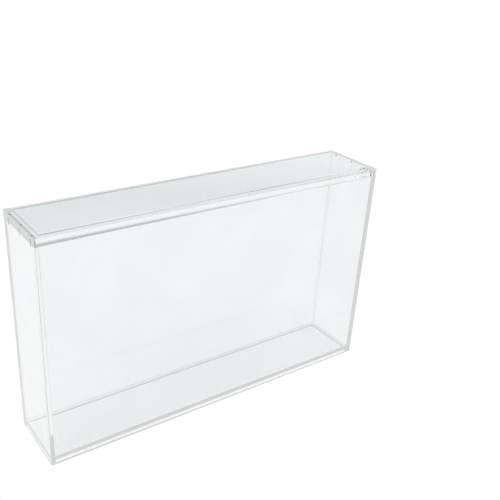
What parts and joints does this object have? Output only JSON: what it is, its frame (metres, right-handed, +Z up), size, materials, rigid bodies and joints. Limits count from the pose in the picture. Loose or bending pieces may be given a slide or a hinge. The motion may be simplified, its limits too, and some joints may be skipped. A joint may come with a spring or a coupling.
{
  "type": "game box protector",
  "caption": "Clear acrylic display box for a large boxed game, with a loose stepped lid held by small magnets and a recessed base for stacking.",
  "frame": {"origin": "centre of the footprint, on the surface that the box stands on", "axes": "X along the width, Y along the depth with the front at -Y, Z up"},
  "size_m": [0.42, 0.079, 0.2586],
  "materials": {
    "wall_acrylic": "clear polished sheet",
    "lid_acrylic": "clear polished sheet with milled step",
    "magnet_nickel": "nickel plating"
  },
  "bodies": {
    "case": {"front_panel": "wall_acrylic", "back_panel": "wall_acrylic", "left_panel": "wall_acrylic", "right_panel": "wall_acrylic", "base_panel": "wall_acrylic", "case_magnets": "magnet_nickel"},
    "lid": {"lid": "lid_acrylic", "lid_magnets": "magnet_nickel"}
  },
  "joints": [
    {"name": "lid_lift", "type": "slide", "parent": "case", "child": "lid", "axis": [0, 0, 1], "range_m": [0, 0.25]}
  ]
}
